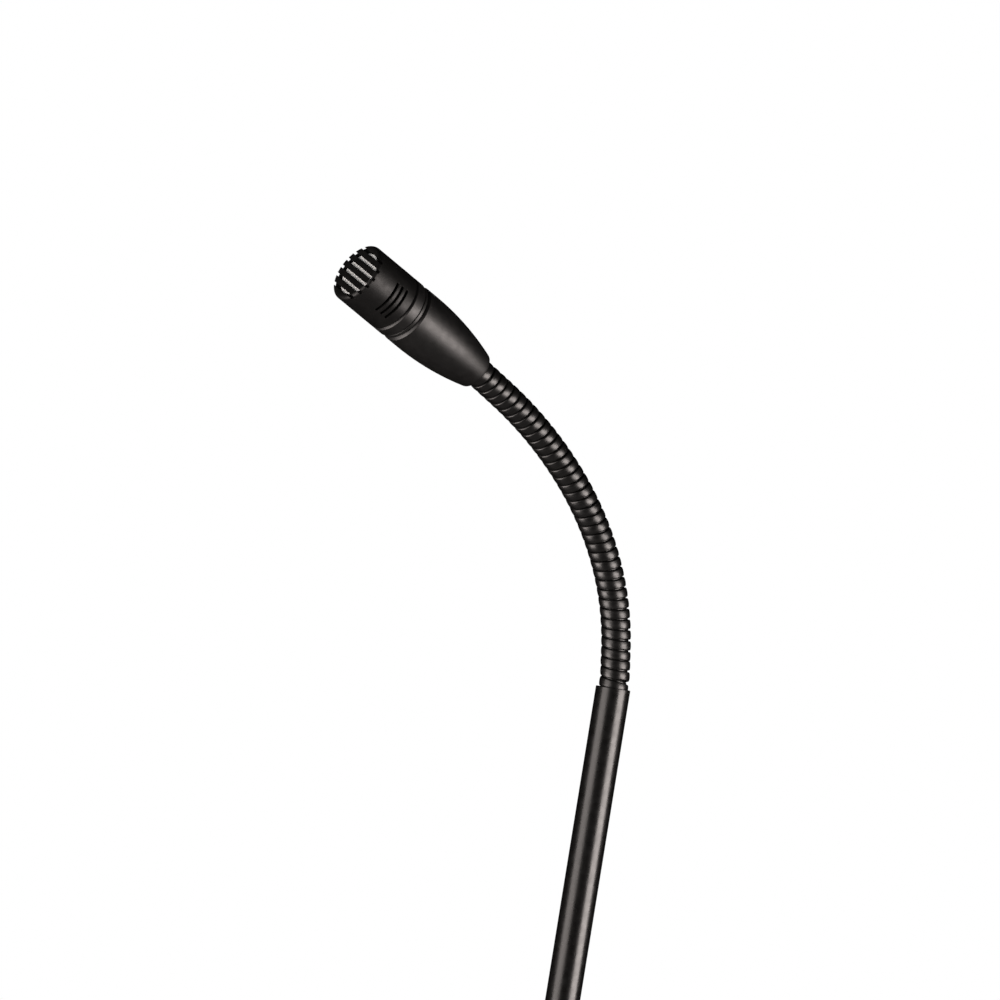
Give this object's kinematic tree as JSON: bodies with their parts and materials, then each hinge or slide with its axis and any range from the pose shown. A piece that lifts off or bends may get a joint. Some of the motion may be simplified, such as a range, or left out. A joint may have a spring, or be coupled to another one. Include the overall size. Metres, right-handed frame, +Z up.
{
  "type": "gooseneck podium microphone",
  "caption": "Slim gooseneck podium microphone: slotted capsule head on a bendable wound neck, straight stem, and a base housing that ends in a male XLR plug.",
  "frame": {"origin": "centre of the annular shoulder of the base housing that seats on the panel socket, on the plug and stem axis", "axes": "+Z up along the straight stem, away from the plug; -Y is the front, the way the neck is bent and the head points; +X completes the right-handed frame"},
  "size_m": [0.022, 0.1313, 0.3478],
  "materials": {
    "head_metal": "satin black anodised",
    "stem_metal": "satin black powder coat",
    "neck_wire": "satin black enamel on wound steel wire",
    "screen_mesh": "fine woven wire cloth",
    "acoustic_foam": "open-cell foam and gauze",
    "steel": "plain",
    "brass": "machined",
    "contact_metal": "nickel plated",
    "insulator": "moulded",
    "black_rubber": "moulded",
    "circuit_board": "green solder mask",
    "red_sleeve": "wire sleeve",
    "white_sleeve": "wire sleeve"
  },
  "bodies": {
    "stem": {"xlr_shell": "contact_metal", "xlr_insert": "insulator", "xlr_pin_1": "contact_metal", "xlr_pin_2": "contact_metal", "xlr_pin_3": "contact_metal", "insert_retaining_ring": "steel", "base_housing": "stem_metal", "stem_grub_screw": "steel", "stem_sleeve": "brass", "stem_grommet": "black_rubber", "base_board": "circuit_board", "base_capacitor_1": "steel", "base_capacitor_2": "steel", "pin_lead_1": "white_sleeve", "pin_lead_2": "red_sleeve", "pin_lead_3": "insulator", "cable_crimp": "steel", "stem_tube": "stem_metal", "neck_anchor": "brass", "neck_stub_lower": "neck_wire", "signal_cable": "black_rubber"},
    "link_01": {"neck_link_01": "neck_wire"},
    "link_02": {"neck_link_02": "neck_wire"},
    "link_03": {"neck_link_03": "neck_wire"},
    "link_04": {"neck_link_04": "neck_wire"},
    "link_05": {"neck_link_05": "neck_wire"},
    "link_06": {"neck_link_06": "neck_wire"},
    "link_07": {"neck_link_07": "neck_wire"},
    "link_08": {"neck_link_08": "neck_wire"},
    "link_09": {"neck_link_09": "neck_wire"},
    "link_10": {"neck_link_10": "neck_wire"},
    "link_11": {"neck_link_11": "neck_wire"},
    "link_12": {"neck_link_12": "neck_wire"},
    "head": {"neck_stub_upper": "neck_wire", "rear_housing": "head_metal", "neck_ferrule": "brass", "ferrule_nut": "brass", "head_board": "circuit_board", "head_capacitor": "steel", "locking_ring": "head_metal", "grille_cap": "head_metal", "windscreen_mesh": "screen_mesh", "foam_disc": "acoustic_foam", "vent_gauze": "acoustic_foam", "capsule_can": "steel", "capsule_diaphragm": "brass", "capsule_backplate": "brass", "capsule_board": "circuit_board", "capsule_cage": "insulator", "capsule_lead_signal": "red_sleeve", "capsule_lead_ground": "white_sleeve"}
  },
  "joints": [
    {"name": "neck_nod_1", "type": "hinge", "parent": "stem", "child": "link_01", "pos_m": [0, 0, 0.2195], "axis": [1, 0, 0], "range_deg": [-30.4, 9.6], "deforming": ["signal_cable"]},
    {"name": "neck_sway_1", "type": "hinge", "parent": "link_01", "child": "link_02", "pos_m": [0, -0.00162, 0.22835], "axis": [0, 0.9836, 0.1805], "range_deg": [-20, 20]},
    {"name": "neck_nod_2", "type": "hinge", "parent": "link_02", "child": "link_03", "pos_m": [0, -0.00325, 0.2372], "axis": [1, 0, 0], "range_deg": [-33.9, 6.1]},
    {"name": "neck_sway_2", "type": "hinge", "parent": "link_03", "child": "link_04", "pos_m": [0, -0.00695, 0.24541], "axis": [0, 0.9114, 0.4115], "range_deg": [-20, 20]},
    {"name": "neck_nod_3", "type": "hinge", "parent": "link_04", "child": "link_05", "pos_m": [0, -0.01066, 0.25361], "axis": [1, 0, 0], "range_deg": [-31.7, 8.3]},
    {"name": "neck_sway_3", "type": "hinge", "parent": "link_05", "child": "link_06", "pos_m": [0, -0.01595, 0.26089], "axis": [0, 0.809, 0.5878], "range_deg": [-20, 20]},
    {"name": "neck_nod_4", "type": "hinge", "parent": "link_06", "child": "link_07", "pos_m": [0, -0.02124, 0.26817], "axis": [1, 0, 0], "range_deg": [-30.1, 9.9]},
    {"name": "neck_sway_4", "type": "hinge", "parent": "link_07", "child": "link_08", "pos_m": [0, -0.02772, 0.27441], "axis": [0, 0.6934, 0.7206], "range_deg": [-20, 20]},
    {"name": "neck_nod_5", "type": "hinge", "parent": "link_08", "child": "link_09", "pos_m": [0, -0.03421, 0.28065], "axis": [1, 0, 0], "range_deg": [-28.1, 11.9]},
    {"name": "neck_sway_5", "type": "hinge", "parent": "link_09", "child": "link_10", "pos_m": [0, -0.04151, 0.28592], "axis": [0, 0.585, 0.8111], "range_deg": [-20, 20]},
    {"name": "neck_nod_6", "type": "hinge", "parent": "link_10", "child": "link_11", "pos_m": [0, -0.04881, 0.29118], "axis": [1, 0, 0], "range_deg": [-27.6, 12.4]},
    {"name": "neck_sway_6", "type": "hinge", "parent": "link_11", "child": "link_12", "pos_m": [0, -0.05674, 0.29544], "axis": [0, 0.4726, 0.8813], "range_deg": [-20, 20]},
    {"name": "neck_nod_7", "type": "hinge", "parent": "link_12", "child": "head", "pos_m": [0, -0.06467, 0.29969], "axis": [1, 0, 0], "range_deg": [-23, 17]}
  ]
}
